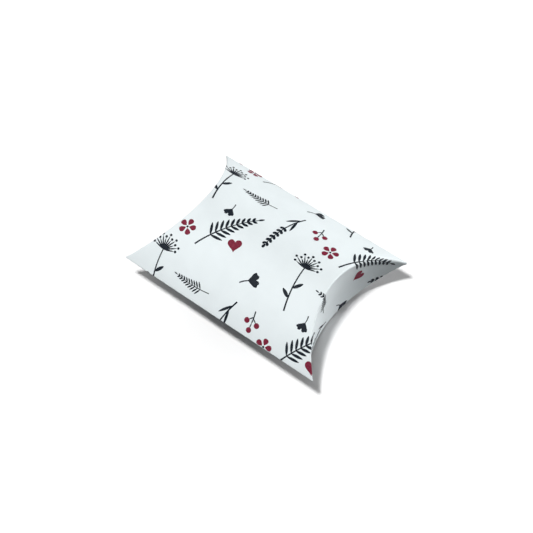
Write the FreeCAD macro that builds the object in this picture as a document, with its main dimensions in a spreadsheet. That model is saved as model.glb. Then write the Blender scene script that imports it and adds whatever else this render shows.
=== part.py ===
"""Folded card pillow box: two arched panels, four bowed end flaps and the creases between them.

Frame: origin on the table under the middle of the box, X along the box, Y across it, Z up, in mm.
The sheet is built folded and closed. Its outer faces are arcs: the panels are arched across Y with
one radius, and the end flaps stand upright and are bowed inwards in plan with another.
"""

import FreeCAD
import Part
import Sketcher

import math
import os
from dataclasses import dataclass
from enum import IntEnum

SIZES = {
    "box_length": (110.0, "tip to tip along the box"),
    "box_width": (78.0, "side crease to side crease"),
    "box_height": (34.0, "crest of the top panel above the table"),
    "end_depth": (17.0, "how far each end is bowed in from its tips"),
    "card": (0.4, "thickness of the card"),
    "crease_width": (0.8, "end crease, measured along the box"),
    "crease_drop": (0.8, "end crease, measured through the card and down the flap"),
    "side_crease": (1.2, "side crease, measured across the box"),
    "fold_radius": (0.35, "rounding of the outer face along an end crease"),
    "hinge_gap": (0.5, "working gap between an end crease and its flap"),
    "nest_gap": (0.35, "clearance between an outer flap and the inner flap behind it"),
    "edge_lift": (0.4, "free edge of an outer flap above the crease below it"),
    "tip_gap": (0.5, "clearance between an outer flap's tips and the side creases"),
    "inner_relief": (5.0, "how far the tips of an inner flap stop short of the sides"),
    "seam_lap": (0.6, "raw edge of the top panel inside the seam side"),
    "glue_flap_width": (12.0, "glue flap across the box"),
    "glue_flap_inset": (11.0, "glue flap's ends, set in from the tips"),
    "glue_flap_taper": (6.0, "slant of the glue flap's ends"),
    "glue_film": (0.1, "thickness of the glue"),
    "glue_margin": (1.5, "bare card beside the glue"),
    "overcut": (10.0, "reach of the trimming outlines beyond the card"),
}

# Radius of the panels' outer faces, from the height and width of the lens they form.
ARCH = "((Sizes.box_width ^ 2 + Sizes.box_height ^ 2) / (4 * Sizes.box_height))"
# Plan radius of the outer flaps' outer faces, from the width and depth of the bowed end.
BOW = "((Sizes.box_width ^ 2 / 4 + Sizes.end_depth ^ 2) / (2 * Sizes.end_depth))"
# Distance of the flaps' upright axis from the middle of the box.
BOW_CENTRE = f"(Sizes.box_length / 2 - Sizes.end_depth + {BOW})"
# Plan radius of the inner flaps' outer faces, one card and a clearance behind the outer flaps.
INNER_BOW = f"({BOW} + Sizes.card + Sizes.nest_gap)"
SIDE_EDGE = "(Sizes.box_width / 2 - Sizes.side_crease)"
BEYOND = "(Sizes.box_length / 2 + Sizes.overcut)"


class Spot(IntEnum):
    """Points of a sketch edge, by the sketcher's own numbers."""

    START = 1
    END = 2
    CENTRE = 3


class Base(IntEnum):
    """Fixed references of a sketch: its origin lies at the start of its horizontal axis."""

    AXIS_X = -1
    AXIS_Y = -2


class Way(IntEnum):
    """Which panel, or which end or side, a piece belongs to."""

    UPPER = 1
    LOWER = -1


START, END, CENTRE = Spot
TOP, BOTTOM = Way
RIGHT, LEFT = Way

doc = FreeCAD.newDocument("pillow_box")
sheet = doc.addObject("Spreadsheet::Sheet", "Sizes")
for row, (alias, (size, note)) in enumerate(SIZES.items(), start=1):
    sheet.set(f"A{row}", note)
    sheet.set(f"B{row}", str(size))
    sheet.setAlias(f"B{row}", alias)
doc.recompute()


def value(expression):
    """Return the present number of an expression over the sheet."""
    return float(doc.Sizes.evalExpression(expression.replace("Sizes.", "")))


@dataclass
class Outline:
    """A sketch on one origin plane of a body, with its sizes bound to the sheet."""

    body: object
    name: str
    plane: str

    def __post_init__(self):
        self.sketch = self.body.newObject("Sketcher::SketchObject", self.name)
        origin_plane = next(f for f in self.body.Origin.OriginFeatures if f.Role == self.plane)
        self.sketch.AttachmentSupport = [(origin_plane, "")]
        self.sketch.MapMode = "FlatFace"

    def line(self, first, second):
        """Add a straight edge and return its index."""
        ends = [FreeCAD.Vector(x, y, 0) for x, y in (first, second)]
        return self.sketch.addGeometry(Part.LineSegment(*ends), False)

    def arc(self, centre, radius, first, last):
        """Add a circular edge, anticlockwise between two angles, and return its index."""
        circle = Part.Circle(FreeCAD.Vector(*centre, 0), FreeCAD.Vector(0, 0, 1), radius)
        return self.sketch.addGeometry(Part.ArcOfCircle(circle, first, last), False)

    def tie(self, kind, *args):
        """Add a constraint that has no size."""
        self.sketch.addConstraint(Sketcher.Constraint(kind, *args))

    def size(self, kind, *args):
        """Add a sized constraint, the last argument being its expression."""
        *where, expression = args
        index = self.sketch.addConstraint(Sketcher.Constraint(kind, *where, value(expression)))
        self.sketch.setExpression(f"Constraints[{index}]", expression)

    def level(self, axis, geometry, point, expression):
        """Fix one coordinate of a point, on either side of the sketch's origin."""
        kind = "DistanceX" if axis == "x" else "DistanceY"
        if value(expression) >= 0:
            self.size(kind, Base.AXIS_X, START, geometry, point, expression)
        else:
            self.size(kind, geometry, point, Base.AXIS_X, START, f"-({expression})")

    def join(self, *corners):
        """Make pairs of points coincide."""
        for first, first_point, second, second_point in corners:
            self.tie("Coincident", first, first_point, second, second_point)

    def arch(self, level, radius, left, right):
        """Add an arc of a panel's section, concentric with that panel.

        The ends are returned as (left point, right point) with the arc's index.
        """
        centre_z = f"(Sizes.box_height - {ARCH})" if level == TOP else ARCH
        across = value(radius)
        turn = [math.asin(value(y) / across) for y in (left, right)]
        if level == TOP:
            first, last, ends = math.pi / 2 - turn[1], math.pi / 2 - turn[0], (END, START)
        else:
            first, last, ends = 1.5 * math.pi + turn[0], 1.5 * math.pi + turn[1], (START, END)
        edge = self.arc((0, value(centre_z)), across, first, last)
        self.tie("PointOnObject", edge, CENTRE, Base.AXIS_Y)
        self.level("y", edge, CENTRE, centre_z)
        self.size("Radius", edge, radius)
        return edge, ends[0], ends[1]

    def upright(self, first, first_point, second, second_point, across):
        """Close two arcs with an upright edge at a distance across the box."""
        ends = [self.sketch.getPoint(first, first_point), self.sketch.getPoint(second, second_point)]
        edge = self.line(*[(p.x, p.y) for p in ends])
        self.join((edge, START, first, first_point), (edge, END, second, second_point))
        self.tie("Vertical", edge)
        self.level("x", edge, START, across)

    def band(self, level, inner, outer, left, right):
        """Add the closed section of an arched sheet between two radii."""
        over, over_left, over_right = self.arch(level, outer, left, right)
        under, under_left, under_right = self.arch(level, inner, left, right)
        self.upright(over, over_left, under, under_left, left)
        self.upright(over, over_right, under, under_right, right)

    def plan_arc(self, side, radius, half_width):
        """Add an arc of a bowed end in plan and return it with its (far, near) points across Y."""
        centre_x = f"({side} * {BOW_CENTRE})"
        around = value(radius)
        turn = math.asin(value(half_width) / around)
        middle = math.pi if side == RIGHT else 0.0
        edge = self.arc((value(centre_x), 0), around, middle - turn, middle + turn)
        self.tie("PointOnObject", edge, CENTRE, Base.AXIS_X)
        self.level("x", edge, CENTRE, centre_x)
        self.size("Radius", edge, radius)
        return (edge, START, END) if side == RIGHT else (edge, END, START)

    def plan_band(self, side, outer, depth, half_width):
        """Add the closed plan of a bowed sheet, its depth running into the box."""
        face, face_far, face_near = self.plan_arc(side, outer, half_width)
        back, back_far, back_near = self.plan_arc(side, f"({outer} + {depth})", half_width)
        for near, face_point, back_point in ((False, face_far, back_far), (True, face_near, back_near)):
            ends = [self.sketch.getPoint(face, face_point), self.sketch.getPoint(back, back_point)]
            edge = self.line(*[(p.x, p.y) for p in ends])
            self.join((edge, START, face, face_point), (edge, END, back, back_point))
            self.tie("Horizontal", edge)
            self.level("y", edge, START, f"-{half_width}" if near else half_width)

    def rectangle(self, left, bottom, right, top):
        """Add a closed rectangle between four levels."""
        low, high = (value(left), value(bottom)), (value(right), value(top))
        corners = [low, (high[0], low[1]), high, (low[0], high[1])]
        edges = [self.line(corners[i], corners[(i + 1) % 4]) for i in range(4)]
        self.join(*[(edges[i], END, edges[(i + 1) % 4], START) for i in range(4)])
        for edge, kind in zip(edges, ("Horizontal", "Vertical") * 2):
            self.tie(kind, edge)
        self.level("x", edges[0], START, left)
        self.level("y", edges[0], START, bottom)
        self.level("x", edges[2], START, right)
        self.level("y", edges[2], START, top)


def new_body(label):
    """Add an empty body named after its node."""
    body = doc.addObject("PartDesign::Body", label)
    body.Label = label
    return body


def pad(body, outline, length, symmetric):
    """Extrude an outline to an expression's length."""
    feature = body.newObject("PartDesign::Pad", f"{outline.name}_pad")
    feature.Profile = outline.sketch
    feature.SideType = "Symmetric" if symmetric else "One side"
    feature.setExpression("Length", length)
    outline.sketch.Visibility = False
    doc.recompute()
    return feature


def cut(body, outline):
    """Cut an outline through the whole body, both ways."""
    feature = body.newObject("PartDesign::Pocket", f"{outline.name}_cut")
    feature.Profile = outline.sketch
    feature.Type = "ThroughAll"
    feature.SideType = "Symmetric"
    outline.sketch.Visibility = False
    doc.recompute()
    return feature


def mirror_ends(body, feature):
    """Repeat a cut at the other end of the box."""
    mirrored = body.newObject("PartDesign::Mirrored", f"{feature.Name}_ends")
    mirrored.Originals = [feature]
    plane = next(f for f in body.Origin.OriginFeatures if f.Role == "YZ_Plane")
    mirrored.MirrorPlane = (plane, [""])
    body.Tip = mirrored
    doc.recompute()


def bow_ends(body, label, radius):
    """Cut both ends of a sheet to the bowed plan of the flaps."""
    outline = Outline(body, f"{label}_end", "XY_Plane")
    half_width = "(Sizes.box_width / 2)"
    face, far, near = outline.plan_arc(RIGHT, radius, half_width)
    corners = [outline.sketch.getPoint(face, point) for point in (far, near)]
    reach = value(BEYOND)
    edges = [
        outline.line((corners[0].x, corners[0].y), (reach, corners[0].y)),
        outline.line((reach, corners[0].y), (reach, corners[1].y)),
        outline.line((reach, corners[1].y), (corners[1].x, corners[1].y)),
    ]
    outline.join(
        (face, far, edges[0], START),
        (edges[0], END, edges[1], START),
        (edges[1], END, edges[2], START),
        (edges[2], END, face, near),
    )
    outline.tie("Horizontal", edges[0])
    outline.tie("Vertical", edges[1])
    outline.tie("Horizontal", edges[2])
    outline.level("y", edges[1], START, half_width)
    outline.level("y", edges[1], END, f"-{half_width}")
    outline.level("x", edges[1], START, BEYOND)
    mirror_ends(body, cut(body, outline))


def round_fold(body, label, on_fold):
    """Round the outer edge of a fold, picked as the edge whose points all pass a test."""
    sharp = body.Tip
    picked = [
        f"Edge{number}"
        for number, edge in enumerate(sharp.Shape.Edges, start=1)
        if all(on_fold(point) for point in edge.discretize(5))
    ]
    feature = body.newObject("PartDesign::Fillet", f"{label}_round")
    feature.Base = (sharp, picked)
    feature.setExpression("Radius", "Sizes.fold_radius")
    doc.recompute()


def arched_sheet(label, level, inner, outer, left, right, length):
    """Build an arched strip of card that runs along the box."""
    body = new_body(label)
    outline = Outline(body, f"{label}_section", "YZ_Plane")
    outline.band(level, inner, outer, left, right)
    pad(body, outline, length, symmetric=True)
    return body


def panel(label, level, end_radius, right):
    """Build an arched panel with both its ends bowed."""
    left = f"(-{SIDE_EDGE})"
    body = arched_sheet(label, level, f"({ARCH} - Sizes.card)", ARCH, left, right, "Sizes.box_length")
    bow_ends(body, label, end_radius)
    return body


def side_crease(label, side, top_radius):
    """Build the long fold between a top and a bottom arc, each one card thick."""
    body = new_body(label)
    outline = Outline(body, f"{label}_section", "YZ_Plane")
    inner_edge = f"({side} * {SIDE_EDGE})"
    nose = f"({side} * (Sizes.box_width / 2 - Sizes.card))"
    span = (nose, inner_edge) if side == LEFT else (inner_edge, nose)
    tip, root = (1, 2) if side == LEFT else (2, 1)
    over = outline.arch(TOP, top_radius, *span)
    under = outline.arch(TOP, f"({top_radius} - Sizes.card)", *span)
    lower = outline.arch(BOTTOM, ARCH, *span)
    upper = outline.arch(BOTTOM, f"({ARCH} - Sizes.card)", *span)
    outline.join((over[0], over[tip], lower[0], lower[tip]), (under[0], under[tip], upper[0], upper[tip]))
    outline.upright(over[0], over[root], under[0], under[root], inner_edge)
    outline.upright(lower[0], lower[root], upper[0], upper[root], inner_edge)
    pad(body, outline, "Sizes.box_length", symmetric=True)
    bow_ends(body, label, BOW)
    return body


def bowed_sheet(label, side, outer, depth, half_width):
    """Build an upright sheet, bowed in plan, as tall as the box."""
    body = new_body(label)
    outline = Outline(body, f"{label}_plan", "XY_Plane")
    outline.plan_band(side, outer, depth, half_width)
    pad(body, outline, "Sizes.box_height", symmetric=False)
    return body


def trim_frame(body, label):
    """Start a trimming outline: a frame around the box, seen along it."""
    outline = Outline(body, f"{label}_trim", "YZ_Plane")
    outline.rectangle(
        "(-Sizes.box_width)", "(-Sizes.overcut)", "Sizes.box_width", "(Sizes.box_height + Sizes.overcut)"
    )
    return outline


def end_crease(label, side, level, outer):
    """Build the fold between a panel and its flap, flush with the panel's outer face."""
    body = bowed_sheet(label, side, outer, "Sizes.crease_width", SIDE_EDGE)
    outline = trim_frame(body, label)
    outline.band(level, f"({ARCH} - Sizes.crease_drop)", ARCH, f"(-{SIDE_EDGE})", SIDE_EDGE)
    cut(body, outline)
    arch_z = value(f"(Sizes.box_height - {ARCH})" if level == TOP else ARCH)
    bow_x = side * value(BOW_CENTRE)

    def on_fold(point):
        from_arch = math.hypot(point.y, point.z - arch_z) - value(ARCH)
        from_bow = math.hypot(point.x - bow_x, point.y) - value(outer)
        return max(abs(from_arch), abs(from_bow)) < 1e-4

    round_fold(body, label, on_fold)
    return body


def outer_flap(label, side):
    """Build an outer flap: it hangs from the top crease and ends just above the lower one."""
    half_width = f"({SIDE_EDGE} - Sizes.tip_gap)"
    body = bowed_sheet(label, side, BOW, "Sizes.card", half_width)
    outline = trim_frame(body, label)
    hinge_radius = f"({ARCH} - Sizes.crease_drop - Sizes.hinge_gap)"
    span = (f"(-{half_width})", half_width)
    over, over_left, over_right = outline.arch(TOP, hinge_radius, *span)
    lower, lower_left, lower_right = outline.arch(BOTTOM, f"({ARCH} - Sizes.edge_lift)", *span)
    outline.upright(over, over_left, lower, lower_left, span[0])
    outline.upright(over, over_right, lower, lower_right, span[1])
    cut(body, outline)
    return body


def inner_flap(label, side):
    """Build an inner flap: it stands on the lower crease, its free edge cut to swing in freely."""
    half_width = "(Sizes.box_width / 2 - Sizes.inner_relief)"
    body = bowed_sheet(label, side, INNER_BOW, "Sizes.card", SIDE_EDGE)
    outline = trim_frame(body, label)
    hinge_radius = f"({ARCH} - Sizes.crease_drop - Sizes.hinge_gap)"
    crest = "(Sizes.box_height - Sizes.crease_drop - Sizes.hinge_gap)"
    lower, lower_left, lower_right = outline.arch(BOTTOM, hinge_radius, f"(-{half_width})", half_width)
    corner = outline.sketch.getPoint(lower, lower_right)
    sag = value(crest) - corner.y
    radius = (corner.x ** 2 + sag ** 2) / (2 * sag)
    turn = math.asin(corner.x / radius)
    edge = outline.arc((0, value(crest) - radius), radius, math.pi / 2 - turn, math.pi / 2 + turn)
    outline.tie("PointOnObject", edge, CENTRE, Base.AXIS_Y)
    outline.join((edge, START, lower, lower_right), (edge, END, lower, lower_left))
    outline.level("x", lower, lower_right, half_width)
    top = outline.sketch.addGeometry(Part.Point(FreeCAD.Vector(0, value(crest), 0)), True)
    outline.tie("PointOnObject", top, START, Base.AXIS_Y)
    outline.tie("PointOnObject", top, START, edge)
    outline.level("y", top, START, crest)
    cut(body, outline)
    return body


def glue_flap(label, outer):
    """Build the tab that lies inside the top panel, its ends slanted."""
    root = SIDE_EDGE
    free = f"({SIDE_EDGE} - Sizes.glue_flap_width)"
    body = arched_sheet(label, TOP, f"({outer} - Sizes.card)", outer, free, root, "Sizes.box_length")
    outline = Outline(body, f"{label}_slant", "XY_Plane")
    root_x = "(Sizes.box_length / 2 - Sizes.glue_flap_inset)"
    free_x = f"({root_x} - Sizes.glue_flap_taper)"
    corners = [(free_x, free), (BEYOND, free), (BEYOND, root), (root_x, root)]
    points = [(value(x), value(y)) for x, y in corners]
    edges = [outline.line(points[i], points[(i + 1) % 4]) for i in range(4)]
    outline.join(*[(edges[i], END, edges[(i + 1) % 4], START) for i in range(4)])
    for edge, (x, y) in zip(edges, corners):
        outline.level("x", edge, START, x)
        outline.level("y", edge, START, y)
    mirror_ends(body, cut(body, outline))
    return body


def glue_line(label, outer):
    """Build the film of glue between the glue flap and the top panel."""
    free = f"({SIDE_EDGE} - Sizes.glue_flap_width + Sizes.glue_margin)"
    root = f"({SIDE_EDGE} - Sizes.glue_margin)"
    length = "(Sizes.box_length - 2 * (Sizes.glue_flap_inset + Sizes.glue_flap_taper + Sizes.glue_margin))"
    return arched_sheet(label, TOP, f"({outer} - Sizes.glue_film)", outer, free, root, length)


inside_top = f"({ARCH} - Sizes.card)"
inside_glue = f"({inside_top} - Sizes.glue_film)"
raw_edge = "(Sizes.box_width / 2 - Sizes.seam_lap)"

nodes = [
    panel("top_panel", TOP, f"({BOW} + Sizes.crease_width)", raw_edge),
    panel("bottom_panel", BOTTOM, f"({INNER_BOW} + Sizes.crease_width)", SIDE_EDGE),
    side_crease("folded_side_crease", LEFT, ARCH),
    side_crease("seam_side_crease", RIGHT, inside_glue),
    glue_flap("glue_flap", inside_glue),
    glue_line("glue_line", inside_top),
]
for hand, side in (("right", RIGHT), ("left", LEFT)):
    nodes += [
        end_crease(f"{hand}_top_crease", side, TOP, BOW),
        end_crease(f"{hand}_bottom_crease", side, BOTTOM, INNER_BOW),
        outer_flap(f"{hand}_outer_flap", side),
        inner_flap(f"{hand}_inner_flap", side),
    ]

doc.recompute()
for item in doc.Objects:
    if {"Invalid", "Error"} & set(item.State):
        raise RuntimeError(f"{item.Label} did not compute: {item.State}")

os.makedirs("parts", exist_ok=True)
for node in nodes:
    shape = node.Shape
    if shape.isNull() or not shape.isValid() or len(shape.Solids) != 1:
        raise RuntimeError(f"{node.Label} is not one valid solid")
    shape.exportStep(f"parts/{node.Label}.step")
    box = shape.optimalBoundingBox()
    print(
        f"{node.Label}: {shape.Volume:.1f} mm3, x {box.XMin:.2f} {box.XMax:.2f},"
        f" y {box.YMin:.2f} {box.YMax:.2f}, z {box.ZMin:.2f} {box.ZMax:.2f}"
    )
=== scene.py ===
"""Pillow box: a gift box folded and glued from one sheet of printed card, lying on its belly."""

import logging
import math
from collections.abc import Callable, Iterator
from contextlib import contextmanager
from dataclasses import dataclass, field
from enum import Enum

import bmesh
import bpy
from bmesh.types import BMFace
from bpy.types import Material, Node, NodeSocket, NodeTree, Object
from mathutils import Matrix, Vector


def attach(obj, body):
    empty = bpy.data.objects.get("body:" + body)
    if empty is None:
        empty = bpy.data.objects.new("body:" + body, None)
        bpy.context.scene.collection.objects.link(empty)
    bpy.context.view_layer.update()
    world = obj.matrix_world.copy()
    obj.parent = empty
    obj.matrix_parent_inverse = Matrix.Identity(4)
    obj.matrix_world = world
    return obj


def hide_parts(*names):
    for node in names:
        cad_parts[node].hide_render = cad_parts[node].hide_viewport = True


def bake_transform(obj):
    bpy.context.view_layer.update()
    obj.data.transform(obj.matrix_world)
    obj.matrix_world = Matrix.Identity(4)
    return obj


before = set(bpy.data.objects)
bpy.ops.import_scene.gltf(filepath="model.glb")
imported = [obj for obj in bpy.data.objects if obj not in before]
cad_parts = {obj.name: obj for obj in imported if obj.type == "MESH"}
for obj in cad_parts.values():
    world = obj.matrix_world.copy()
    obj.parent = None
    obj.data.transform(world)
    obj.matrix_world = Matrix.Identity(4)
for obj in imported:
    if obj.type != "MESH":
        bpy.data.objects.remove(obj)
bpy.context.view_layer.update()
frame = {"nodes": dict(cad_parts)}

log = logging.getLogger("pillow_box")

MM = 0.001
PER_METRE = 1000  # turns a pattern's size in millimetres to its scale
CUT_NEAR = 1e-7  # a cut that passes this near to a point goes through it
ORIGIN = Vector((0, 0, 0))
X, Y, Z = Vector((1, 0, 0)), Vector((0, 1, 0)), Vector((0, 0, 1))


class Face(Enum):
    """The two arched panels of the box; the value is the way the panel faces along Z."""

    TOP = 1
    BOTTOM = -1


class End(Enum):
    """The two ends that the flaps close; the value is the way the end faces along X."""

    RIGHT = 1
    LEFT = -1


class Pick(Enum):
    """What is picked in edit mode."""

    POINTS = "VERT"
    FACES = "FACE"


class Slot(Enum):
    """The material slots of a card piece, in the order that Solidify counts them."""

    FACE = 0
    BACK = 1
    CUT_EDGE = 2


def linear(colour: str) -> tuple[float, float, float, float]:
    """Turns an sRGB hex colour to linear.

    Args:
        colour: The colour as "#RRGGBB".

    Returns:
        Linear red, green and blue, with an alpha of 1.
    """
    parts = [int(colour[i : i + 2], 16) / 255 for i in (1, 3, 5)]
    red, green, blue = (
        part / 12.92 if part <= 0.04045 else ((part + 0.055) / 1.055) ** 2.4 for part in parts
    )
    return (red, green, blue, 1.0)


def put(
    tree: NodeTree, kind: str, settings: dict | None = None, links: dict | None = None
) -> Node:
    """Adds a node to a material or world, or sets one that is there.

    Args:
        tree: The node tree.
        kind: The node's type, or the name of the one that is there.
        settings: Its properties and the values of its inputs, by name or number; "stops" are the
            places and colours of a colour ramp.
        links: What feeds its inputs, by name or number: a socket, or a node's first output.

    Returns:
        The node.
    """
    node = tree.nodes.get(kind) or tree.nodes.new(kind)
    for name, value in (settings or {}).items():
        if name == "stops":
            for stop, (place, colour) in zip(node.color_ramp.elements, value.items()):
                stop.position, stop.color = place, linear(colour)
        elif isinstance(name, str) and hasattr(node, name):
            setattr(node, name, value)
        else:
            node.inputs[name].default_value = value
    for name, source in (links or {}).items():
        socket = source.outputs[0] if isinstance(source, Node) else source
        tree.links.new(socket, node.inputs[name])
    return node


def new_material(name: str) -> tuple[Material, NodeTree, NodeSocket]:
    """Starts a material.

    Args:
        name: What it is made of, and how its surface was made.

    Returns:
        The material, its node tree, and the place on the piece that its patterns follow.
    """
    material = bpy.data.materials.new(name)
    material.use_nodes = True
    tree = material.node_tree
    return material, tree, put(tree, "ShaderNodeTexCoord").outputs["Object"]


def take(piece: Object, *others: Object) -> None:
    """Selects only these objects.

    Args:
        piece: The one that is made active.
        others: The rest.
    """
    bpy.ops.object.select_all(action="DESELECT")
    for each in (piece, *others):
        each.select_set(True)
    bpy.context.view_layer.objects.active = piece


def own_copy(piece: Object) -> Object:
    """Copies a piece.

    Args:
        piece: The piece.

    Returns:
        The copy, with a mesh of its own.
    """
    copy = piece.copy()
    copy.data = piece.data.copy()
    bpy.context.scene.collection.objects.link(copy)
    return copy


@contextmanager
def editing(piece: Object, pick: Pick = Pick.FACES, whole: bool = False) -> Iterator[None]:
    """Opens a piece in edit mode and closes it again.

    Args:
        piece: The piece.
        pick: Whether points or faces are picked.
        whole: Whether all of it starts selected, or nothing.

    Yields:
        Nothing, while the piece is open.
    """
    take(piece)
    bpy.ops.object.mode_set(mode="EDIT")
    bpy.ops.mesh.select_mode(type=pick.value)
    bpy.ops.mesh.select_all(action="SELECT" if whole else "DESELECT")
    yield
    bpy.ops.object.mode_set(mode="OBJECT")


def select_faces(piece: Object, wanted: Callable[[BMFace], bool]) -> None:
    """Selects faces of the piece in edit mode by a test of their place, normal or number.

    Args:
        piece: The piece that is open in edit mode.
        wanted: The test.
    """
    shape = bmesh.from_edit_mesh(piece.data)
    for face in shape.faces:
        face.select_set(wanted(face))
    shape.select_flush_mode()
    bmesh.update_edit_mesh(piece.data)


def drop_scraps(piece: Object, least: float) -> None:
    """Deletes the loose bits of a piece in edit mode that are smaller than an area.

    Args:
        piece: The piece that is open in edit mode.
        least: The smallest area that stays, in square metres.
    """
    waiting = set(bmesh.from_edit_mesh(piece.data).faces)
    scraps: set[BMFace] = set()
    while waiting:
        bit = [waiting.pop()]
        for face in bit:
            touching = {other for edge in face.edges for other in edge.link_faces} & waiting
            waiting -= touching
            bit.extend(touching)
        if sum(face.calc_area() for face in bit) < least:
            scraps.update(bit)
    select_faces(piece, scraps.__contains__)
    bpy.ops.mesh.delete(type="FACE")


def slice_through(place: Vector, normal: Vector, outer: bool = False, inner: bool = False) -> None:
    """Cuts all of the piece in edit mode by a plane, and clears a side of it where asked.

    Args:
        place: A point of the plane.
        normal: The plane's normal.
        outer: Whether the side that the normal points to is cleared.
        inner: Whether the other side is cleared.
    """
    bpy.ops.mesh.select_all(action="SELECT")
    bpy.ops.mesh.bisect(
        plane_co=place, plane_no=normal, clear_outer=outer, clear_inner=inner, threshold=CUT_NEAR
    )


def apply_modifier(piece: Object, kind: str, **settings: object) -> None:
    """Adds a modifier to a piece and applies it.

    Args:
        piece: The piece.
        kind: The modifier's type.
        settings: Its properties.
    """
    take(piece)
    modifier = piece.modifiers.new(kind.title(), kind)
    for name, value in settings.items():
        setattr(modifier, name, value)
    bpy.ops.object.modifier_apply(modifier=modifier.name)


@dataclass(frozen=True)
class Sweep:
    """One turn of a spun line: a point on its axis, the axis, the angle and the facets."""

    hub: Vector
    axis: Vector
    angle: float
    facets: int


def swept_line(name: str, start: Vector, end: Vector, sweeps: list[Sweep]) -> Object:
    """Draws a straight line and spins it about one axis after another into a curved sheet.

    Args:
        name: The sheet's name.
        start: Where the line starts.
        end: Where the line ends.
        sweeps: The turns that the line is spun through, in order.

    Returns:
        The sheet, with no thickness.
    """
    bpy.ops.object.select_all(action="DESELECT")
    bpy.ops.mesh.primitive_plane_add(size=MM)
    sheet = bpy.context.active_object
    sheet.name = sheet.data.name = name
    with editing(sheet, Pick.POINTS, whole=True):
        bpy.ops.mesh.merge(type="CENTER")
        bpy.ops.transform.translate(value=start)
        bpy.ops.mesh.extrude_vertices_move(TRANSFORM_OT_translate={"value": end - start})
        bpy.ops.mesh.select_all(action="SELECT")
        for sweep in sweeps:
            bpy.ops.mesh.spin(
                steps=sweep.facets, angle=sweep.angle, center=sweep.hub, axis=sweep.axis
            )
    return sheet


@dataclass(frozen=True)
class CoatedCard:
    """White folding boxboard with a pigment coating and a matt varnish, the outside of the box.

    The coating hides the fibres, so the face is an even cool white with hardly any sheen;
    calendering leaves it faintly cloudy, with a very fine orange-peel.
    """

    light: str = "#EDF5F7"
    shade: str = "#E9F1F3"
    cloud_mm: float = 9.0
    cloud_from: float = 0.3  # the part of the noise that the clouds show
    cloud_to: float = 0.7
    smoothest: float = 0.60
    roughest: float = 0.70
    sheen: float = 0.35
    peel_mm: float = 0.6  # about 0.1 mm in the real coating, drawn coarser so that it shows
    peel_depth: float = 0.02 * MM
    peel_strength: float = 0.06

    def build(self) -> Material:
        """Makes the material.

        Returns:
            The material.
        """
        material, tree, where = new_material("coated boxboard, matt varnish")
        clouds = {"Scale": PER_METRE / self.cloud_mm, "Detail": 4.0}
        cloud = put(tree, "ShaderNodeTexNoise", clouds, {"Vector": where})
        pores = {"Scale": PER_METRE / self.peel_mm, "Detail": 2.0}
        peel = put(tree, "ShaderNodeTexNoise", pores, {"Vector": where})
        tones = {self.cloud_from: self.shade, self.cloud_to: self.light}
        tint = put(tree, "ShaderNodeValToRGB", {"stops": tones}, {"Fac": cloud})
        span = {"From Min": self.cloud_from, "From Max": self.cloud_to}
        span |= {"To Min": self.smoothest, "To Max": self.roughest}
        gloss = put(tree, "ShaderNodeMapRange", span, {"Value": cloud})
        depth = {"Strength": self.peel_strength, "Distance": self.peel_depth}
        bump = put(tree, "ShaderNodeBump", depth, {"Height": peel})
        look = {"Base Color": tint, "Roughness": gloss, "Normal": bump}
        put(tree, "Principled BSDF", {"Specular IOR Level": self.sheen}, look)
        return material


@dataclass(frozen=True)
class FibreBoard:
    """Uncoated board: the inside of the box, or the core that shows along a cut edge.

    Bare pulp is warmer and duller than the coating, with short fibres lying every way and a dry
    matt surface.
    """

    name: str
    light: str
    shade: str
    fibre_mm: float = 0.5  # real fibres are about 0.03 mm thick, drawn coarser so that they show
    fibre_curl: float = 1.5
    fibre_depth: float = 0.03 * MM
    fibre_strength: float = 0.2
    roughness: float = 0.88
    ior: float = 1.45

    def build(self) -> Material:
        """Makes the material.

        Returns:
            The material.
        """
        material, tree, where = new_material(self.name)
        fibres = {"Scale": PER_METRE / self.fibre_mm, "Detail": 5.0, "Distortion": self.fibre_curl}
        pulp = put(tree, "ShaderNodeTexNoise", fibres, {"Vector": where})
        tones = {0.35: self.shade, 0.65: self.light}
        tint = put(tree, "ShaderNodeValToRGB", {"stops": tones}, {"Fac": pulp})
        depth = {"Strength": self.fibre_strength, "Distance": self.fibre_depth}
        bump = put(tree, "ShaderNodeBump", depth, {"Height": pulp})
        finish = {"Roughness": self.roughness, "IOR": self.ior}
        put(tree, "Principled BSDF", finish, {"Base Color": tint, "Normal": bump})
        return material


@dataclass(frozen=True)
class PressInk:
    """Matt offset ink: a thin film with hardly any sheen, mottled as the card took it unevenly."""

    name: str
    dense: str
    thin: str
    mottle_mm: float = 0.9
    roughness: float = 0.62
    sheen: float = 0.12

    def build(self) -> Material:
        """Makes the material.

        Returns:
            The material.
        """
        material, tree, where = new_material(self.name)
        blots = {"Scale": PER_METRE / self.mottle_mm, "Detail": 3.0}
        mottle = put(tree, "ShaderNodeTexNoise", blots, {"Vector": where})
        tones = {0.4: self.dense, 0.75: self.thin}
        tint = put(tree, "ShaderNodeValToRGB", {"stops": tones}, {"Fac": mottle})
        finish = {"Roughness": self.roughness, "Specular IOR Level": self.sheen}
        put(tree, "Principled BSDF", finish, {"Base Color": tint})
        return material


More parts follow.
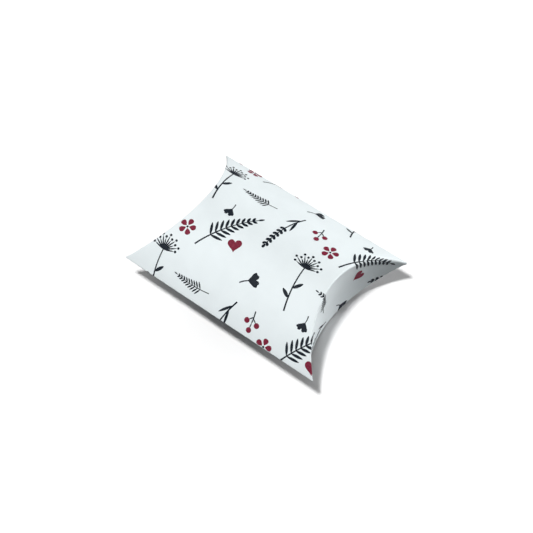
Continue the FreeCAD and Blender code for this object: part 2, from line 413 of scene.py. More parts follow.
@dataclass(frozen=True)
class DriedGlue:
    """White PVA glue, rolled on and dried: milky and slightly shiny, with the roller's stipple."""

    colour: str = "#E9E4D2"
    stipple_mm: float = 1.2
    stipple_depth: float = 0.05 * MM
    stipple_strength: float = 0.3
    smoothest: float = 0.25
    roughest: float = 0.5
    ior: float = 1.47

    def build(self) -> Material:
        """Makes the material.

        Returns:
            The material.
        """
        material, tree, where = new_material("PVA glue, rolled and dried")
        cells = {"Scale": PER_METRE / self.stipple_mm}
        stipple = put(tree, "ShaderNodeTexVoronoi", cells, {"Vector": where})
        span = {"To Min": self.smoothest, "To Max": self.roughest}
        gloss = put(tree, "ShaderNodeMapRange", span, {"Value": stipple})
        depth = {"Strength": self.stipple_strength, "Distance": self.stipple_depth}
        bump = put(tree, "ShaderNodeBump", depth, {"Height": stipple})
        finish = {"Base Color": linear(self.colour), "IOR": self.ior}
        put(tree, "Principled BSDF", finish, {"Roughness": gloss, "Normal": bump})
        return material


@dataclass
class FoldedCard:
    """The folded card itself: two arched panels, the folds at their sides and ends, and the flaps.

    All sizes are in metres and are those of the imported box. A panel is part of a cylinder lying
    along the box, and a flap is the rest of that cylinder folded through a right angle about the
    end's curved crease, so at any distance across the box the card runs straight along the panel,
    round the fold and straight down the flap.
    """

    face_card: Material
    back_card: Material
    edge_card: Material
    length: float = 110 * MM
    width: float = 78 * MM
    height: float = 34 * MM
    end_depth: float = 17 * MM
    thickness: float = 0.4 * MM
    inner_setback: float = 0.75 * MM  # how far the inner flaps stand behind the outer ones
    flap_parting: float = 0.3 * MM  # what stands further back than this is an inner flap
    edge_lift: float = 0.4 * MM  # how far the outer flaps' free edges stop above the floor
    inner_crest: float = 32.7 * MM  # top of the inner flaps' free edges
    inner_reach: float = 34 * MM  # half the width of the inner flaps
    crease_radius: float = 0.55 * MM
    rolled_radius: float = 3.6 * MM  # one crease was pressed less and rolls over near its far tip
    roll_start: float = 8 * MM  # where along that crease the roll starts
    roll_run: float = 20 * MM  # how far on it is full
    fold_share: float = 0.4  # the most of a panel's rise that a fold takes up near a tip
    fold_facets: int = 8
    side_start: float = 38.7 * MM  # where the panels' curve gives way to the folded side's round
    seam_edge: float = 38.8 * MM  # where the top panel's glued edge ends
    seam_fold: float = 37.8 * MM  # where the bottom panel meets the fold to the glue flap
    waviness: float = 0.22 * MM
    wave: float = 34 * MM
    strips_along: int = 20  # the strips that the waves bend
    strip_up: float = 2.5 * MM
    bend_strip: float = 1 * MM  # the width of the strips that a flap and its print are parted into
    bend_strips: int = 12
    bend_start: float = 1.6 * MM  # how far from the crease the bend starts
    bend_stop: float = 11 * MM  # and ends
    tip_reach: float = 5 * MM  # how far from a tip the wall thins over
    tip_start: float = 0.15  # how much of that stays thinnest
    tip_wall: float = 0.03  # the thinnest wall, as a part of the card's thickness
    level_normal: float = 0.05  # the most that an upright face's normal rises
    end_normal: float = 0.5  # the least that it points along the box
    weld: float = 0.002 * MM  # points nearer than this are one point
    sliver: float = 0.01 * MM  # strips narrower than this are closed up
    least_scrap: float = 4 * MM * MM  # smaller loose bits at the tips are dropped
    smooth_angle: float = math.radians(35)
    facets: int = 96

    @property
    def middle(self) -> float:
        """The height of the side folds and tips."""
        return self.height / 2

    @property
    def bow(self) -> float:
        """The radius of the panels' and flaps' curve."""
        rise = self.height / 2
        return ((self.width / 2) ** 2 + rise**2) / (2 * rise)

    @property
    def half_angle(self) -> float:
        """Half the angle that a panel's curve turns through."""
        return math.asin(self.width / 2 / self.bow)

    def rise(self, across: float) -> float:
        """How far a panel stands above the side folds at a distance across the box."""
        return math.sqrt(self.bow**2 - across**2) - self.bow + self.height / 2

    def hub_height(self, face: Face) -> float:
        """The height of the axis that a panel curves about."""
        return self.middle + face.value * (self.height / 2 - self.bow)

    def seam(self, face: Face) -> float:
        """How far a panel reaches across the box on the glued side."""
        return self.seam_edge if face is Face.TOP else self.seam_fold

    def setback(self, face: Face) -> float:
        """How far back a panel's end creases are set from the box's full length."""
        return self.inner_setback if face is Face.BOTTOM else 0.0

    @staticmethod
    def panel_name(face: Face) -> str:
        """The name of a panel's piece."""
        return f"{face.name.lower()}_panel"

    @staticmethod
    def flap_name(face: Face, end: End) -> str:
        """The name of a flap's piece, which is also the name of its imported part."""
        return f"{end.name.lower()}_{'outer' if face is Face.TOP else 'inner'}_flap"

    def flaps(self) -> dict[str, tuple[Face, End]]:
        """The panel that carries each flap and the end that it closes, by the flap's name."""
        return {self.flap_name(face, end): (face, end) for face in Face for end in End}

    def piece_names(self) -> list[str]:
        """The names of the six card pieces."""
        return [*(self.panel_name(face) for face in Face), *self.flaps()]

    def crease_plane(self, face: Face, end: End) -> tuple[Vector, Vector]:
        """The plane that holds a panel's end crease.

        Args:
            face: The panel.
            end: The end.

        Returns:
            A point of the plane, and its normal out of the panel.
        """
        place = Vector((end.value * (self.length / 2 - self.setback(face)), 0, self.middle))
        return place, Vector((end.value, 0, face.value)).normalized()

    def free_edge_plane(self, face: Face, end: End) -> tuple[Vector, Vector]:
        """The plane that a flap's free edge lies in.

        Args:
            face: The panel that carries the flap.
            end: The end.

        Returns:
            A point of the plane, and its normal out of the flap.
        """
        if face is Face.TOP:
            place = Vector((end.value * (self.length / 2 - self.edge_lift), 0, self.middle))
            return place, Vector((end.value, 0, -1)).normalized()
        root = self.length / 2 - self.inner_setback
        crest = Vector((root - self.end_depth, 0, self.inner_crest))
        corner_rise = self.rise(self.inner_reach)
        slope = Vector((root - corner_rise, 0, self.middle - corner_rise)) - crest
        place = Vector((end.value * crest.x, 0, crest.z))
        return place, Vector((end.value * -slope.z, 0, slope.x)).normalized()

    def bend_planes(self, face: Face, end: End) -> list[tuple[Vector, Vector]]:
        """The planes that part a flap, or its print, into strips next to its crease.

        Args:
            face: The panel that carries the flap.
            end: The end.

        Returns:
            A point and the normal of each plane.
        """
        place, normal = self.crease_plane(face, end)
        steps = range(1, self.bend_strips + 1)
        return [(place - step * self.bend_strip * normal, normal) for step in steps]

    def sheet(self, face: Face) -> Object:
        """Shapes one panel with its two flaps; the top one has the folded side too.

        Args:
            face: The panel.

        Returns:
            The panel and flaps as one skin, with sharp creases.
        """
        side = -self.side_start
        lean = math.asin(self.side_start / self.bow)
        turn = lean + math.asin(self.seam(face) / self.bow)
        sweeps = [Sweep(self.hub_height(face) * Z, face.value * X, turn, self.facets)]
        start = Vector((self.length, side, self.middle + face.value * self.rise(side)))
        if face is Face.TOP:
            nose = Vector((0, side + math.tan(lean) * self.rise(side), self.middle))
            sweeps.insert(0, Sweep(nose, X, math.pi - 2 * lean, self.fold_facets))
            start.z = self.middle - self.rise(side)
        mirrored = start * Vector((-1, 1, 1))
        panel = swept_line(f"{face.name.lower()}_sheet", mirrored, start, sweeps)
        with editing(panel):
            for end in End:
                for each in Face:
                    slice_through(*self.crease_plane(each, end), outer=True)
        flaps = []
        root = self.length / 2 - self.setback(face)
        for end in End:
            lead = Vector((end.value * (root - self.rise(side)), side, -self.height))
            hub = end.value * (root - self.end_depth + self.bow) * X
            sweep = Sweep(hub, end.value * Z, turn, self.facets)
            flap = swept_line("flap", lead, lead + 3 * self.height * Z, [sweep])
            with editing(flap):
                slice_through(*self.crease_plane(face, end), outer=True)
                slice_through(*self.free_edge_plane(face, end), outer=True)
            flaps.append(flap)
        take(panel, *flaps)
        bpy.ops.object.join()
        return panel

    def fold_radius(self, face: Face, end: End, across: float) -> float:
        """The radius of an end crease's fold at a distance across the box.

        Args:
            face: The panel.
            end: The end.
            across: The distance from the middle, positive towards the glued side.

        Returns:
            The radius, which dies away at the tips.
        """
        radius = self.crease_radius
        if face is Face.TOP and end is End.RIGHT:
            part = min(max((across - self.roll_start) / self.roll_run, 0.0), 1.0)
            radius += (self.rolled_radius - radius) * part * part * (3 - 2 * part)
        return min(radius, self.fold_share * max(self.rise(across), 0.0))

    def skin(self) -> Object:
        """Joins both sheets along the folded side, rounds every fold and ripples the card.

        Returns:
            The outer skin of the closed box, with no thickness and its faces numbered by piece.
        """
        skin, bottom = self.sheet(Face.TOP), self.sheet(Face.BOTTOM)
        take(skin, bottom)
        bpy.ops.object.join()
        skin.name = skin.data.name = "card_skin"
        with editing(skin, Pick.POINTS, whole=True):
            bpy.ops.mesh.remove_doubles(threshold=self.weld)
            bpy.ops.mesh.select_all(action="SELECT")
            bpy.ops.mesh.normals_make_consistent(inside=False)
        self.mark_folds(skin)
        apply_modifier(
            skin,
            "BEVEL",
            width=self.rolled_radius,
            offset_type="OFFSET",
            limit_method="WEIGHT",
            segments=self.fold_facets,
            use_clamp_overlap=False,
        )
        self.number_pieces(skin)
        half = self.strips_along // 2
        with editing(skin):
            for step in range(1 - half, half):
                slice_through(step * self.length / self.strips_along * X, X)
            for step in range(1, math.ceil(self.height / self.strip_up)):
                slice_through(step * self.strip_up * Z, Z)
            bpy.ops.mesh.select_all(action="SELECT")
            bpy.ops.mesh.remove_doubles(threshold=self.sliver)
            bpy.ops.mesh.dissolve_degenerate(threshold=self.sliver / 2)
        ripple = bpy.data.textures.new("card_ripple", "CLOUDS")
        ripple.noise_scale = self.wave
        waves = {"texture": ripple, "texture_coords": "LOCAL", "strength": self.waviness}
        apply_modifier(skin, "DISPLACE", **waves)
        return skin

    def mark_folds(self, skin: Object) -> None:
        """Gives each end crease the bevel weight of its own fold radius.

        Args:
            skin: The closed box's skin, with sharp creases.
        """
        mesh = skin.data
        weights = mesh.attributes.new("bevel_weight_edge", "FLOAT", "EDGE")
        planes = {(face, end): self.crease_plane(face, end) for face in Face for end in End}
        for edge in mesh.edges:
            ends = [mesh.vertices[i].co for i in edge.vertices]
            if any(p.y < -self.side_start - self.weld for p in ends):
                continue
            across = (ends[0].y + ends[1].y) / 2
            for (face, end), (place, normal) in planes.items():
                if any(abs((p - place).dot(normal)) >= self.weld for p in ends):
                    continue
                if all((p.z - self.middle) * face.value > -self.sliver for p in ends):
                    radius = self.fold_radius(face, end, across)
                    weights.data[edge.index].value = radius / self.rolled_radius

    def number_pieces(self, skin: Object) -> None:
        """Numbers each face by the piece that it belongs to, in the order of piece_names.

        Args:
            skin: The closed box's skin, with rounded creases.
        """
        names = self.piece_names()
        hub = self.length / 2 - self.end_depth + self.bow
        for polygon in skin.data.polygons:
            centre, normal = polygon.center, polygon.normal
            face = Face.TOP if centre.z > self.middle else Face.BOTTOM
            end = End.RIGHT if centre.x > 0 else End.LEFT
            upright = abs(normal.z) < self.level_normal and abs(normal.x) > self.end_normal
            if upright:
                behind = math.hypot(centre.x * end.value - hub, centre.y) - self.bow
                face = Face.TOP if behind < self.flap_parting else Face.BOTTOM
            if centre.y < -self.side_start:
                face = Face.TOP
            name = self.flap_name(face, end) if upright else self.panel_name(face)
            polygon.material_index = names.index(name)

    def cut_pieces(self, skin: Object) -> dict[str, Object]:
        """Parts the skin into its six card pieces, gives each its thickness and dresses it.

        Args:
            skin: The closed box's skin, its faces numbered by piece.

        Returns:
            The pieces by name.
        """
        pieces: dict[str, Object] = {}
        for number, name in enumerate(self.piece_names()):
            piece = own_copy(skin)
            piece.name = piece.data.name = f"{name}_card"
            with editing(piece):
                select_faces(piece, lambda polygon: polygon.material_index != number)
                bpy.ops.mesh.delete(type="FACE")
                drop_scraps(piece, self.least_scrap)
                if name in self.flaps():
                    for plane in self.bend_planes(*self.flaps()[name]):
                        slice_through(*plane)
            for polygon in piece.data.polygons:
                polygon.material_index = Slot.FACE.value
            for material in (self.face_card, self.back_card, self.edge_card):
                piece.data.materials.append(material)
            self.thin_tips(piece)
            apply_modifier(
                piece,
                "SOLIDIFY",
                vertex_group="wall",
                thickness=self.thickness,
                offset=-1.0,
                use_quality_normals=True,
                material_offset=Slot.BACK.value,
                material_offset_rim=Slot.CUT_EDGE.value,
            )
            take(piece)
            bpy.ops.object.shade_smooth_by_angle(angle=self.smooth_angle)
            piece.vertex_groups.clear()
            pieces[name] = piece
        bpy.data.objects.remove(skin)
        return pieces

    def thin_tips(self, piece: Object) -> None:
        """Weights the wall so that it thins to the tips, where panel and flap close to nothing.

        Args:
            piece: The card piece, before it gets its thickness.
        """
        wall = piece.vertex_groups.new(name="wall")
        for point in piece.data.vertices:
            away = math.hypot(self.length / 2 - abs(point.co.x), self.width / 2 - abs(point.co.y))
            part = away / self.tip_reach - self.tip_start
            wall.add([point.index], min(max(part, self.tip_wall), 1.0), "REPLACE")

    def hang(self, piece: Object, name: str) -> None:
        """Makes a panel piece, or the print on it, move with the box; a flap's piece only has its
        place baked into its mesh.

        Args:
            piece: The piece.
            name: The card piece's name.
        """
        if name not in self.flaps():
            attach(piece, "box")
            return
        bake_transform(piece)


class Ink(Enum):
    """The two inks of the print, by the order of their material slots."""

    DARK = 0
    WINE = 1


class Outline(Enum):
    """The flat outlines that the sprigs are drawn from, each of unit length from its root."""

    LEAF = "leaf"
    GRAIN = "grain"
    DOT = "dot"
    HEART = "heart"
    FAN = "fan"

    @property
    def corners(self) -> int:
        """How many points the outline is drawn with."""
        return {Outline.HEART: 36, Outline.FAN: 44}.get(self, 14)

    def point(self, turn: float) -> tuple[float, float]:
        """A point of the outline.

        Args:
            turn: How far round the outline it lies, from 0 at the root to a full turn.

        Returns:
            Its place across and along the shape, for a shape of length 1 and width 1.
        """
        across, along = math.sin(turn), (1 - math.cos(turn)) / 2
        if self is Outline.LEAF:
            pointed = abs(across) ** 1.5
            return math.copysign(pointed, across) / 2, along
        if self is Outline.GRAIN:
            fullness = 0.65 * math.sin(turn / 2)
            return fullness * across, along
        if self is Outline.HEART:  # the usual heart curve, 29 high with its point at -17
            halves = -13 * math.cos(turn) - 5 * math.cos(2 * turn)
            lobes = halves + 2 * math.cos(3 * turn) - math.cos(4 * turn)
            return across**3 / 2, (lobes + 17) / 29
        if self is Outline.FAN:
            return self.fan_point(turn)
        return across / 2, along

    @staticmethod
    def fan_point(turn: float) -> tuple[float, float]:
        """A point of the fan: two straight sides, and a scalloped rim with a notch in its middle.

        Args:
            turn: How far round the outline it lies.

        Returns:
            Its place across and along the shape.
        """
        half_rim = 2.0  # how much of the turn each half of the rim takes
        corner_across, corner_along = 0.55, 0.52  # where a straight side meets the rim
        radius, opening, squeeze = 0.92, 0.82, 0.82
        notch_depth, notch_width = 0.3, 0.12
        scallop_depth, scallops = 0.03, 14
        spread = (turn - math.pi) / half_rim
        if abs(spread) > 1:
            reach = (math.pi - abs(turn - math.pi)) / (math.pi - half_rim)
            return -math.copysign(corner_across * reach, spread), corner_along * reach
        notch = notch_depth * math.exp(-((spread / notch_width) ** 2))
        rim = radius - notch + scallop_depth * math.cos(scallops * spread)
        angle = opening * spread
        return -squeeze * rim * math.sin(angle), rim * math.cos(angle)


def heading(way: float) -> Vector:
    """The direction on the flat print at an angle from Y."""
    return Vector((-math.sin(way), math.cos(way), 0))


@dataclass
class Sprig:
    """One printed motif, drawn flat at its real size, from its root at the origin along Y."""

    name: str
    inks: tuple[Material, Material]
    length: float
    lean: float = 0.0
    strokes: list[Object] = field(default_factory=list)

    def along(self, part: float) -> tuple[Vector, float]:
        """A place along the stem.

        Args:
            part: How far along the stem, from 0 to 1.

        Returns:
            The place, and the direction there as an angle from Y.
        """
        place = Vector((self.lean * part * part, self.length * part, 0))
        return place, -math.atan2(2 * self.lean * part, self.length)

    def stem(self, thick: float, thin: float) -> None:
        """Draws the stem: a thin wire along the lean, its lower half cut away, pressed flat.

        Args:
            thick: Its width at the root.
            thin: Its width at the tip.
        """
        bpy.ops.object.select_all(action="DESELECT")
        bpy.ops.curve.primitive_bezier_curve_add()
        stroke = bpy.context.active_object
        curve = stroke.data
        rise, lean = self.length, self.lean
        root, tip = curve.splines[0].bezier_points
        for knot in (root, tip):
            knot.handle_left_type = knot.handle_right_type = "FREE"
        root.co, tip.co = (0, 0, 0), (lean, rise, 0)
        root.handle_left, root.handle_right = (0, -rise / 3, 0), (0, rise / 3, 0)
        tip.handle_left = (lean / 3, 2 * rise / 3, 0)
        tip.handle_right = (5 * lean / 3, 4 * rise / 3, 0)
        root.radius, tip.radius = thick / 2, thin / 2
        curve.bevel_depth, curve.bevel_resolution, curve.resolution_u = 1.0, 0, 14
        bpy.ops.object.convert(target="MESH")
        with editing(stroke):
            slice_through(ORIGIN, Z, inner=True)
            bpy.ops.mesh.select_all(action="SELECT")
            bpy.ops.transform.resize(value=(1, 1, 0), center_override=ORIGIN)
        self.keep(stroke, Ink.DARK)

    def shape(
        self,
        outline: Outline,
        size: tuple[float, float],
        at: Vector,
        way: float,
        ink: Ink = Ink.DARK,
    ) -> None:
        """Draws one filled shape.

        Args:
            outline: Its outline.
            size: Its length and width.
            at: Where its root is.
            way: Its direction, as an angle from Y.
            ink: The ink that fills it.
        """
        bpy.ops.object.select_all(action="DESELECT")
        bpy.ops.mesh.primitive_circle_add(vertices=outline.corners, radius=MM, fill_type="NGON")
        stroke = bpy.context.active_object
        place = Matrix.Translation(at) @ Matrix.Rotation(way, 4, "Z")
        for point in stroke.data.vertices:
            turn = math.atan2(point.co.x, -point.co.y) % (2 * math.pi)
            across, along = outline.point(turn)
            point.co = place @ Vector((across * size[1], along * size[0], 0))
        with editing(stroke, whole=True):
            bpy.ops.mesh.quads_convert_to_tris()
        self.keep(stroke, ink)

    def keep(self, stroke: Object, ink: Ink) -> None:
        """Inks a stroke and adds it to the motif.

        Args:
            stroke: The stroke.
            ink: Its ink.
        """
        stroke.data.materials.clear()
        stroke.data.materials.append(self.inks[ink.value])
        self.strokes.append(stroke)

    def join(self) -> Object:
        """Joins the strokes.

        Returns:
            The motif as one flat mesh, face up.
        """
        take(*self.strokes)
        bpy.ops.object.join()
        motif = bpy.context.active_object
        motif.name = motif.data.name = self.name
        with editing(motif):
            select_faces(motif, lambda face: face.normal.z < 0)
            bpy.ops.mesh.flip_normals()
        return motif


@dataclass(frozen=True)
class Placing:
    """Where a motif stands in the repeat: root in millimetres, turn in degrees, and scale."""

    motif: str
    across: float
    along: float
    turn: float
    scale: float = 1.0


@dataclass
class SprigPrint:
    """The print on the card: small garden sprigs in a dark and a wine-red ink, as a half-drop."""

    card: FoldedCard
    inks: tuple[Material, Material]
    repeat: tuple[float, float] = (62 * MM, 56 * MM)
    repeats: int = 2  # to each side of the middle
    film: float = 0.06 * MM
    sliver: float = 0.001 * MM  # faces narrower than this are closed up
    least_fleck: float = 0.12 * MM * MM  # smaller flecks of a cut motif are dropped
    facet: float = 1.2 * MM
    fold_facets: tuple[float, ...] = (0.1, 0.2, 0.3, 0.4, 0.7, 1.0, 1.4, 1.8, 2.2)  # mm from a fold
    layout: tuple[Placing, ...] = (
        Placing("fern", -27, -20, -24),
        Placing("lavender", 6, 24, 160),
        Placing("umbel", 27, -24, 18),
        Placing("fan_leaf", 2, -24, -35),
        Placing("heart", -9, -14, 24),
        Placing("berries", 16, 25, 196),
        Placing("blossom", 27, 13, 0),
        Placing("fern", -8, 20, 100, 0.58),
        Placing("fan_leaf", -24, 8, 200, 0.8),
    )

    def fern(self) -> Sprig:
        """Draws a fern: pairs of leaflets that shorten and close up towards the tip.

        Returns:
            The motif.
        """
        pairs, lowest, apart, opening, closing = 9, 0.26, 0.08, 56, 2
        longest, wide, shrink, tip = 6.6 * MM, 1.35 * MM, 0.075, (3.4 * MM, 1.1 * MM)
        fern = Sprig("fern", self.inks, 32 * MM, 5 * MM)
        fern.stem(0.8 * MM, 0.35 * MM)
        for step in range(pairs):
            place, way = fern.along(lowest + apart * step)
            size = (longest * (1 - shrink * step), wide)
            turn = math.radians(opening - closing * step)
            for side in (-1, 1):
                fern.shape(Outline.LEAF, size, place, way + side * turn)
        fern.shape(Outline.LEAF, tip, *fern.along(0.98))
        return fern

    def lavender(self) -> Sprig:
        """Draws a lavender sprig: an ear of grains over two long leaves.

        Returns:
            The motif.
        """
        pairs, lowest, apart, opening, closing = 6, 0.5, 0.09, 44, 2
        grain, tip = (2.5 * MM, 1.45 * MM), (2.6 * MM, 1.45 * MM)
        leaf, leaf_turn = (8 * MM, 1.3 * MM), math.radians(22)
        lavender = Sprig("lavender", self.inks, 26 * MM, -4 * MM)
        lavender.stem(0.75 * MM, 0.45 * MM)
        for step in range(pairs):
            place, way = lavender.along(lowest + apart * step)
            turn = math.radians(opening - closing * step)
            for side in (-1, 1):
                lavender.shape(Outline.GRAIN, grain, place, way + side * turn)
        lavender.shape(Outline.GRAIN, tip, *lavender.along(1.0))
        for side, part in ((-1, 0.1), (1, 0.2)):
            place, way = lavender.along(part)
            lavender.shape(Outline.LEAF, leaf, place, way + side * leaf_turn)
        return lavender

    def umbel(self) -> Sprig:
        """Draws an umbel: rays that end in dots, long and short by turns, over two leaves.

        Returns:
            The motif.
        """
        rays, apart, dot = 11, math.radians(15), (1.25 * MM, 1.25 * MM)
        long_ray, short_ray, ray_width = 7.0 * MM, 5.6 * MM, 0.7 * MM
        leaf, leaf_turn = (5.4 * MM, 1.75 * MM), math.radians(46)
        umbel = Sprig("umbel", self.inks, 22 * MM, 3 * MM)
        umbel.stem(0.8 * MM, 0.55 * MM)
        head, way = umbel.along(1.0)
        for step in range(rays):
            ray_way = way + apart * (step - rays // 2)
            reach = long_ray if step % 2 else short_ray
            umbel.shape(Outline.LEAF, (reach, ray_width), head, ray_way)
            umbel.shape(Outline.DOT, dot, head + heading(ray_way) * reach, ray_way)
        for side, part in ((1, 0.28), (-1, 0.5)):
            place, way = umbel.along(part)
            umbel.shape(Outline.LEAF, leaf, place, way + side * leaf_turn)
        return umbel

    def fan_leaf(self) -> Sprig:
        """Draws a fan-shaped leaf on a short stalk.

        Returns:
            The motif.
        """
        fan_leaf = Sprig("fan_leaf", self.inks, 4.2 * MM, 0.9 * MM)
        fan_leaf.stem(0.65 * MM, 0.5 * MM)
        fan_leaf.shape(Outline.FAN, (6 * MM, 6.4 * MM), *fan_leaf.along(0.94))
        return fan_leaf

    def heart(self) -> Sprig:
        """Draws a plain heart.

        Returns:
            The motif.
        """
        heart = Sprig("heart", self.inks, 6.5 * MM)
        heart.shape(Outline.HEART, (6.5 * MM, 6.8 * MM), ORIGIN, 0.0, Ink.WINE)
        return heart

    def berries(self) -> Sprig:
        """Draws three berries on one stalk.

        Returns:
            The motif.
        """
        stalk, overlap, berry = (2.6 * MM, 0.55 * MM), 0.3 * MM, (2.7 * MM, 2.7 * MM)
        berries = Sprig("berries", self.inks, 5.5 * MM, 0.6 * MM)
        berries.stem(0.6 * MM, 0.5 * MM)
        for part, turn in ((1.0, 0), (0.62, 46), (0.5, -50)):
            place, way = berries.along(part)
            way += math.radians(turn)
            berries.shape(Outline.LEAF, stalk, place, way)
            tip = place + heading(way) * (stalk[0] - overlap)
            berries.shape(Outline.DOT, berry, tip, way, Ink.WINE)
        return berries

    def blossom(self) -> Sprig:
        """Draws a flower of five petals round a dot.

        Returns:
            The motif.
        """
        petals, petal, eye, ring = 5, (3.4 * MM, 2.7 * MM), 1.1 * MM, 0.8 * MM
        blossom = Sprig("blossom", self.inks, 7 * MM)
        for step in range(petals):
            way = math.radians(360 / petals * step)
            blossom.shape(Outline.GRAIN, petal, heading(way) * ring, way, Ink.WINE)
        blossom.shape(Outline.DOT, (eye, eye), -eye / 2 * Y, 0.0)
        return blossom

    def motifs(self) -> dict[str, Object]:
        """Draws each motif once.

        Returns:
            The flat motifs, by name.
        """
        sprigs = [self.fern(), self.lavender(), self.umbel(), self.fan_leaf()]
        sprigs += [self.heart(), self.berries(), self.blossom()]
        return {sprig.name: sprig.join() for sprig in sprigs}

    def flat_sheet(self, motifs: dict[str, Object], face: Face) -> Object:
        """Repeats the motifs over one panel and its flaps, laid out flat.

        Args:
            motifs: The motifs, drawn once.
            face: The panel.

        Returns:
            The print, flat, with X along the box and Y along the panel's curve.
        """
        wide, tall = self.repeat
        shift = ORIGIN if face is Face.TOP else Vector((wide / 4, tall / 3, 0))
        span = range(-self.repeats, self.repeats + 1)
        copies = []
        for column in span:
            for row in span:
                corner = shift + Vector((column * wide, (row + 0.5 * (column % 2)) * tall, 0))
                for placing in self.layout:
                    copy = own_copy(motifs[placing.motif])
                    copy.location = corner + Vector((placing.across, placing.along, 0)) * MM
                    copy.rotation_euler.z = math.radians(placing.turn)
                    copy.scale = (placing.scale, placing.scale, 1)
                    copies.append(copy)
        take(*copies)
        bpy.ops.object.transform_apply(location=True, rotation=True, scale=True)
        bpy.ops.object.join()
        sheet = bpy.context.active_object
        card = self.card
        half_arc = card.bow * card.half_angle
        seam_arc = card.bow * math.asin(card.seam(face) / card.bow)
        reach = card.length / 2 + card.height / 2
        with editing(sheet):
            slice_through(-half_arc * Y, -Y, outer=True)
            slice_through(seam_arc * Y, Y, outer=True)
            for end in End:
                slice_through(end.value * reach * X, end.value * X, outer=True)
            last = math.ceil(half_arc / self.facet)
            for step in range(1 - last, last):
                slice_through(step * self.facet * Y, Y)
            for apart in self.fold_facets:
                slice_through((apart * MM - half_arc) * Y, Y)
        return sheet

    def wrap(self, sheet: Object, face: Face) -> dict[str, Object]:
        """Bows a flat print on to its panel and folds what runs past the creases down the flaps.

        Args:
            sheet: The flat print.
            face: The panel.

        Returns:
            The print of the panel and of each flap, by the name of the card piece.
        """
        card = self.card
        for point in sheet.data.vertices:
            angle = point.co.y / card.bow
            point.co.y = card.bow * math.sin(angle)
            point.co.z = card.hub_height(face) + face.value * card.bow * math.cos(angle)
        prints = {card.panel_name(face): sheet}
        for end in End:
            place, normal = card.crease_plane(face, end)
            with editing(sheet):
                for apart in self.fold_facets:
                    slice_through(place + apart * MM * normal, normal)
                    slice_through(place - apart * MM * normal, normal)
            flap = own_copy(sheet)
            with editing(sheet):
                slice_through(place, normal, outer=True)
            with editing(flap):
                slice_through(place, normal, inner=True)
            fold = Matrix.Scale(-1, 3, normal)
            for point in flap.data.vertices:
                point.co = place + fold @ (point.co - place)
            with editing(flap):
                slice_through(*card.free_edge_plane(face, end), outer=True)
                for plane in card.bend_planes(face, end):
                    slice_through(*plane)
            prints[card.flap_name(face, end)] = flap
        return prints

    def build(self, skin: Object) -> dict[str, Object]:
        """Prints the whole box.

        Args:
            skin: The outer skin that the ink lies on.

        Returns:
            The ink pieces, by the name of the card piece that each lies on.
        """
        motifs = self.motifs()
        prints: dict[str, Object] = {}
        for face in Face:
            ground = self.ground(skin, face)
            for name, ink in self.wrap(self.flat_sheet(motifs, face), face).items():
                ink.name = ink.data.name = f"{name}_print"
                film = {"target": ground, "wrap_mode": "ABOVE_SURFACE", "offset": self.film}
                apply_modifier(ink, "SHRINKWRAP", **film)
                with editing(ink, whole=True):
                    bpy.ops.mesh.dissolve_degenerate(threshold=self.sliver)
                    drop_scraps(ink, self.least_fleck)
                self.face_out(ink)
                take(ink)
                bpy.ops.object.shade_smooth()
                prints[name] = ink
            bpy.data.objects.remove(ground)
        for motif in motifs.values():
            bpy.data.objects.remove(motif)
        return prints

    def ground(self, skin: Object, face: Face) -> Object:
        """Copies the part of the skin that one panel's print lies on.

        Args:
            skin: The closed box's skin, its faces numbered by piece.
            face: The panel.

        Returns:
            The panel, its flaps and the folded side.
        """
        card, names = self.card, self.card.piece_names()
        carriers = (card.panel_name(face), *(card.flap_name(face, end) for end in End))
        kept = [names.index(name) for name in carriers]
        ground = own_copy(skin)
        with editing(ground):
            select_faces(
                ground,
                lambda each: each.material_index not in kept
                and each.calc_center_median().y > -card.side_start,
            )
            bpy.ops.mesh.delete(type="FACE")
        return ground

    def face_out(self, ink: Object) -> None:
        """Turns every face of a print away from the inside of the box.

        Args:
            ink: The print.
        """

        def inward(face: BMFace) -> bool:
            """Whether a face looks in: towards the box's middle along it, or up and down."""
            centre = face.calc_center_median()
            if "flap" in ink.name:
                return face.normal.x * centre.x < 0
            return face.normal.z * (centre.z - self.card.middle) < 0

        with editing(ink):
            select_faces(ink, inward)
            bpy.ops.mesh.flip_normals()


@dataclass
class GluedSeam:
    """The glued side: the fold to the glue flap, the flap inside the top panel, and the glue."""

    card: Material
    back: Material
    glue: Material

    def dress(self, nodes: dict[str, Object]) -> None:
        """Gives the seam's solids their finishes.

        Args:
            nodes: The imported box's solids, by name.
        """
        finishes = {"seam_side_crease": self.card, "glue_flap": self.back, "glue_line": self.glue}
        for name, material in finishes.items():
            mesh = nodes[name].data
            mesh.materials.clear()
            mesh.materials.append(material)


@dataclass(frozen=True)
class Lamp:
    """A soft lamp that points at the box, with sizes in metres and its power in watts."""

    name: str
    place: tuple[float, float, float]
    width: float
    height: float
    power: float
    aim_height: float = 17 * MM

    def hang(self) -> None:
        """Hangs the lamp."""
        light = bpy.data.lights.new(self.name, "AREA")
        light.shape, light.energy = "RECTANGLE", self.power
        light.size, light.size_y = self.width, self.height
        lamp = bpy.data.objects.new(self.name, light)
        lamp.location = self.place
        lamp.visible_camera = False
        beam = self.aim_height * Z - lamp.location
        lamp.rotation_euler = beam.to_track_quat("-Z", "Y").to_euler()
        bpy.context.scene.collection.objects.link(lamp)


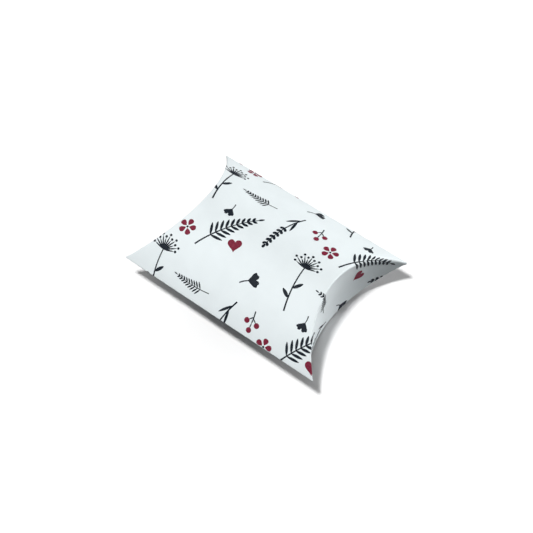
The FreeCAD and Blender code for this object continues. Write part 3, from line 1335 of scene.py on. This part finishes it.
@dataclass
class Studio:
    """The white table, the lamps and the camera."""

    white: str = "#FFFFFF"
    bounce: str = "#56585C"  # what the table throws back on to the box
    table_size: float = 6.0
    dim_reach: float = 28 * MM  # how far from the middle the table is lit by the lamps alone
    painted_glow_reach: float = 300 * MM  # how far out the painted glow grows to full white; it shows to the eye and in reflections only, and lights nothing
    room_light: float = 0.06
    lamps: tuple[Lamp, ...] = (
        Lamp("overhead_lamp", (-0.07, -0.225, 0.87), 0.10, 0.10, 6.85),
        Lamp("window_lamp", (0.60, 0.79, 0.04), 0.70, 0.08, 9.1),
        Lamp("fill_lamp", (-0.69, -0.62, 0.14), 0.80, 0.24, 0.9),
    )
    azimuth: float = 36.85
    elevation: float = 57.05
    distance: float = 480 * MM
    lens: float = 68.2
    sensor: float = 36.0
    near: float = 0.01
    far: float = 20.0
    aim: tuple[float, float, float] = (0.05 * MM, -2.95 * MM, 17 * MM)  # right, up, above the table

    def table(self) -> None:
        """Lays the table: white to the eye, with the box's shadow, but a dull grey to the box;
        further out a painted glow whitens it.
        """
        bpy.ops.object.select_all(action="DESELECT")
        bpy.ops.mesh.primitive_plane_add(size=self.table_size)
        table = bpy.context.active_object
        table.name = table.data.name = "table"
        material, tree, where = new_material("white table, matt")
        ray = put(tree, "ShaderNodeLightPath")
        seen = ray.outputs["Is Camera Ray"]
        for kind in ("Is Glossy Ray", "Is Transmission Ray"):
            either = {0: seen, 1: ray.outputs[kind]}
            seen = put(tree, "ShaderNodeMath", {"operation": "MAXIMUM"}, either)
        tones = {"data_type": "RGBA", 6: linear(self.bounce), 7: linear(self.white)}
        tint = put(tree, "ShaderNodeMix", tones, {0: seen}).outputs[2]
        away = put(tree, "ShaderNodeVectorMath", {"operation": "LENGTH"}, {0: where})
        # painted glow: emission seen only by the eye and in reflections, from none near the box to
        # full white far out, whitening the table where the lamps leave it grey
        span = {"From Min": self.dim_reach, "From Max": self.painted_glow_reach}
        spread = {"Value": away.outputs["Value"], "To Max": seen}
        painted_glow = put(tree, "ShaderNodeMapRange", span, spread)
        finish = {"Emission Color": linear(self.white), "Roughness": 1.0, "Specular IOR Level": 0.0}
        put(tree, "Principled BSDF", finish, {"Base Color": tint, "Emission Strength": painted_glow})
        table.data.materials.append(material)

    def light(self) -> None:
        """Lights the box from lamps and, softly, from all round; the room behind looks white."""
        world = bpy.data.worlds.new("soft white room")
        bpy.context.scene.world = world
        world.use_nodes = True
        tree = world.node_tree
        seen = put(tree, "ShaderNodeLightPath").outputs["Is Camera Ray"]
        span = {"To Min": self.room_light, "To Max": 1.0}
        level = put(tree, "ShaderNodeMapRange", span, {"Value": seen})
        put(tree, "Background", {"Color": linear(self.white)}, {"Strength": level})
        for lamp in self.lamps:
            lamp.hang()

    def camera(self) -> None:
        """Sets the camera up at the photograph's angle."""
        turn, lift = math.radians(self.azimuth), math.radians(self.elevation)
        level, rise = math.cos(lift), math.sin(lift)
        back = Vector((math.sin(turn) * level, -math.cos(turn) * level, rise))
        right = Vector((math.cos(turn), math.sin(turn), 0))
        up = back.cross(right)
        aim = self.aim[2] * Z + self.aim[0] * right + self.aim[1] * up
        data = bpy.data.cameras.new("camera")
        data.lens, data.sensor_width = self.lens, self.sensor
        data.clip_start, data.clip_end = self.near, self.far
        camera = bpy.data.objects.new("camera", data)
        facing = Matrix((right, up, back)).transposed().to_4x4()
        camera.matrix_world = Matrix.Translation(aim + self.distance * back) @ facing
        bpy.context.scene.collection.objects.link(camera)
        bpy.context.scene.camera = camera


def main() -> None:
    """Builds, prints and dresses the box and sets the studio up round it."""
    logging.basicConfig(level=logging.INFO)
    bpy.context.scene.view_settings.view_transform = "Standard"
    coated = CoatedCard().build()
    back = FibreBoard("uncoated boxboard back", "#E9E7E1", "#DAD7CF").build()
    cut_edge = FibreBoard("cut boxboard edge", "#F1EFEA", "#DEDBD3").build()
    dark_ink = PressInk("matt offset ink, blue-black", "#1A2029", "#262D36").build()
    wine_ink = PressInk("matt offset ink, wine red", "#7A2238", "#8A3247").build()
    glue = DriedGlue().build()

    card = FoldedCard(coated, back, cut_edge)
    skin = card.skin()
    prints = SprigPrint(card, (dark_ink, wine_ink)).build(skin)
    pieces = card.cut_pieces(skin)
    for name, piece in pieces.items():
        card.hang(piece, name)
        card.hang(prints[name], name)
        faces, inked = len(piece.data.polygons), len(prints[name].data.polygons)
        log.info("%s: %d faces, its print %d", name, faces, inked)
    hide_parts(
        "top_panel", "folded_side_crease", "right_top_crease", "left_top_crease",
    )
    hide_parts("bottom_panel", "right_bottom_crease", "left_bottom_crease")
    for name in card.flaps():
        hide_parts(name)
    GluedSeam(coated, back, glue).dress(frame["nodes"])
    log.info("glued seam: dressed")

    studio = Studio()
    studio.table()
    studio.light()
    studio.camera()
    bpy.context.view_layer.update()


if __name__ == "__main__":
    main()
